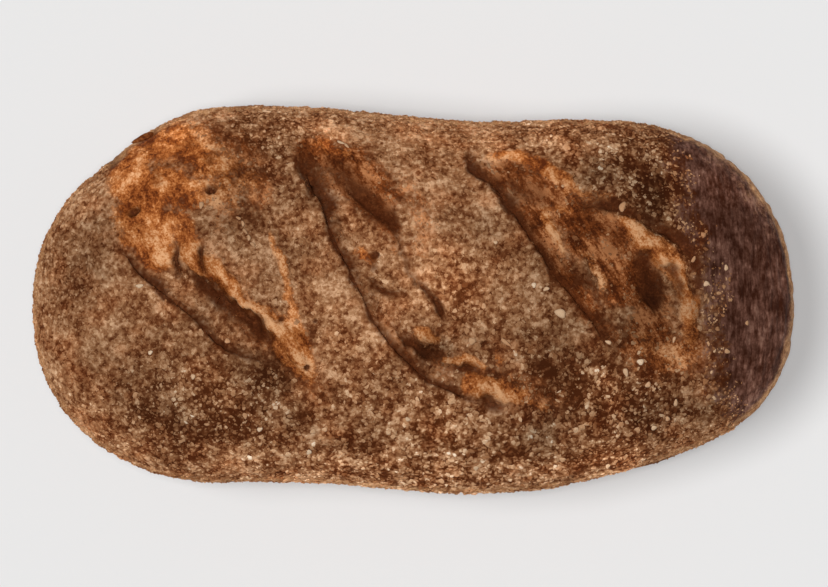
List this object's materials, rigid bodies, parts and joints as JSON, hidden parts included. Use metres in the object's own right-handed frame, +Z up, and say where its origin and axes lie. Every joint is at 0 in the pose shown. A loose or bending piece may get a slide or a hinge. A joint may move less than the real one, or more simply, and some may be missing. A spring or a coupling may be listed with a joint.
{
  "type": "tin loaf",
  "caption": "Round-ended wholemeal tin loaf with slanting torn scores, a high crown over tapered tin walls, a bran-coated crust and a flat base.",
  "frame": {"origin": "under the middle of the loaf's box, on the surface it stands on", "axes": "+Z up, X along the loaf's length with the bare dark end at +X, Y across it; the scores run from -X +Y to +X -Y"},
  "size_m": [0.2814, 0.1436, 0.1044],
  "materials": {
    "crust": "matte",
    "bran": "matte"
  },
  "bodies": {
    "root": {"loaf": "crust"}
  },
  "joints": []
}
